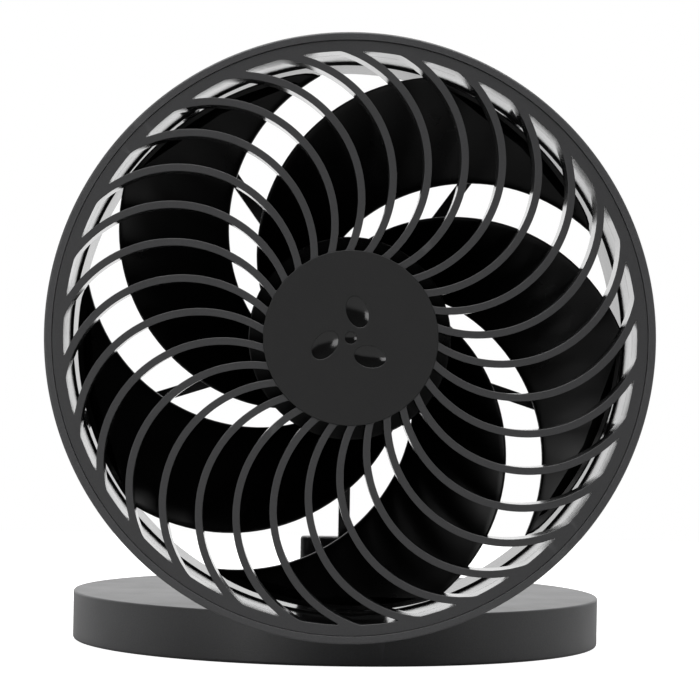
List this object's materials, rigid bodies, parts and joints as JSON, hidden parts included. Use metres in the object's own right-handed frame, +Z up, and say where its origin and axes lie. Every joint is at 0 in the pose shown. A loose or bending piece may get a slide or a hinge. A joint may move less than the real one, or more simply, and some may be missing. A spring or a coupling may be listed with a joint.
{
  "type": "desk fan",
  "caption": "Portable round desk fan on a disc base; the head turns on a hinge and folds back flat onto the base.",
  "frame": {"origin": "centre of the underside of the rubber pad the fan stands on", "axes": "+Z up, the front of the fan faces -Y, +X to the viewer's right seen from the front"},
  "size_m": [0.15, 0.1923, 0.1602],
  "materials": {
    "grey_plastic": "matte",
    "duct_plastic": "satin",
    "black_plastic": "satin",
    "pad_rubber": "matte",
    "steel": "satin",
    "brass": "satin",
    "copper_wire": "satin",
    "magnet": "matte",
    "board": "satin",
    "component": "satin",
    "cell_pouch": "satin",
    "clear_plastic": "gloss",
    "lead_jacket": "matte"
  },
  "bodies": {
    "base": {"base_cover": "grey_plastic", "base_plate": "black_plastic", "base_pad": "pad_rubber", "ballast_weight": "steel", "battery_cell": "cell_pouch", "control_board": "board", "usb_socket": "steel", "tact_switch": "component", "charge_led": "clear_plastic", "light_pipe": "clear_plastic", "base_screw_1": "steel", "base_screw_2": "steel", "base_screw_3": "steel", "base_screw_4": "steel", "board_screw_1": "steel", "board_screw_2": "steel", "hinge_pin": "steel", "hinge_tube": "steel", "friction_washer_left": "steel", "friction_washer_right": "steel", "base_lead": "lead_jacket"},
    "head": {"outer_ring": "grey_plastic", "front_grille": "grey_plastic", "duct_liner": "duct_plastic", "rear_frame": "grey_plastic", "bearing_front": "steel", "bearing_rear": "steel", "stator_core": "steel", "stator_coil_1": "copper_wire", "stator_coil_2": "copper_wire", "stator_coil_3": "copper_wire", "stator_coil_4": "copper_wire", "motor_board": "board", "motor_lead": "lead_jacket", "neck_block": "grey_plastic", "neck_screw_left": "steel", "neck_screw_right": "steel"},
    "impeller": {"impeller": "black_plastic", "rotor_yoke": "steel", "magnet_ring": "magnet", "shaft_bush": "brass", "rotor_shaft": "steel", "retaining_clip": "steel"},
    "power_button": {"power_button": "black_plastic"}
  },
  "joints": [
    {"name": "head_tilt", "type": "hinge", "parent": "base", "child": "head", "pos_m": [0, -0.068, 0.01], "axis": [-1, 0, 0], "range_deg": [0, 90]},
    {"name": "impeller_spin", "type": "hinge", "parent": "head", "child": "impeller", "pos_m": [0, -0.0976, 0.0852], "axis": [0, 1, 0], "continuous": true},
    {"name": "power_button_press", "type": "slide", "parent": "base", "child": "power_button", "axis": [0, -1, 0], "range_m": [0, 0.0008], "stiffness_N_per_m": 300, "springref_m": -0.0003}
  ]
}
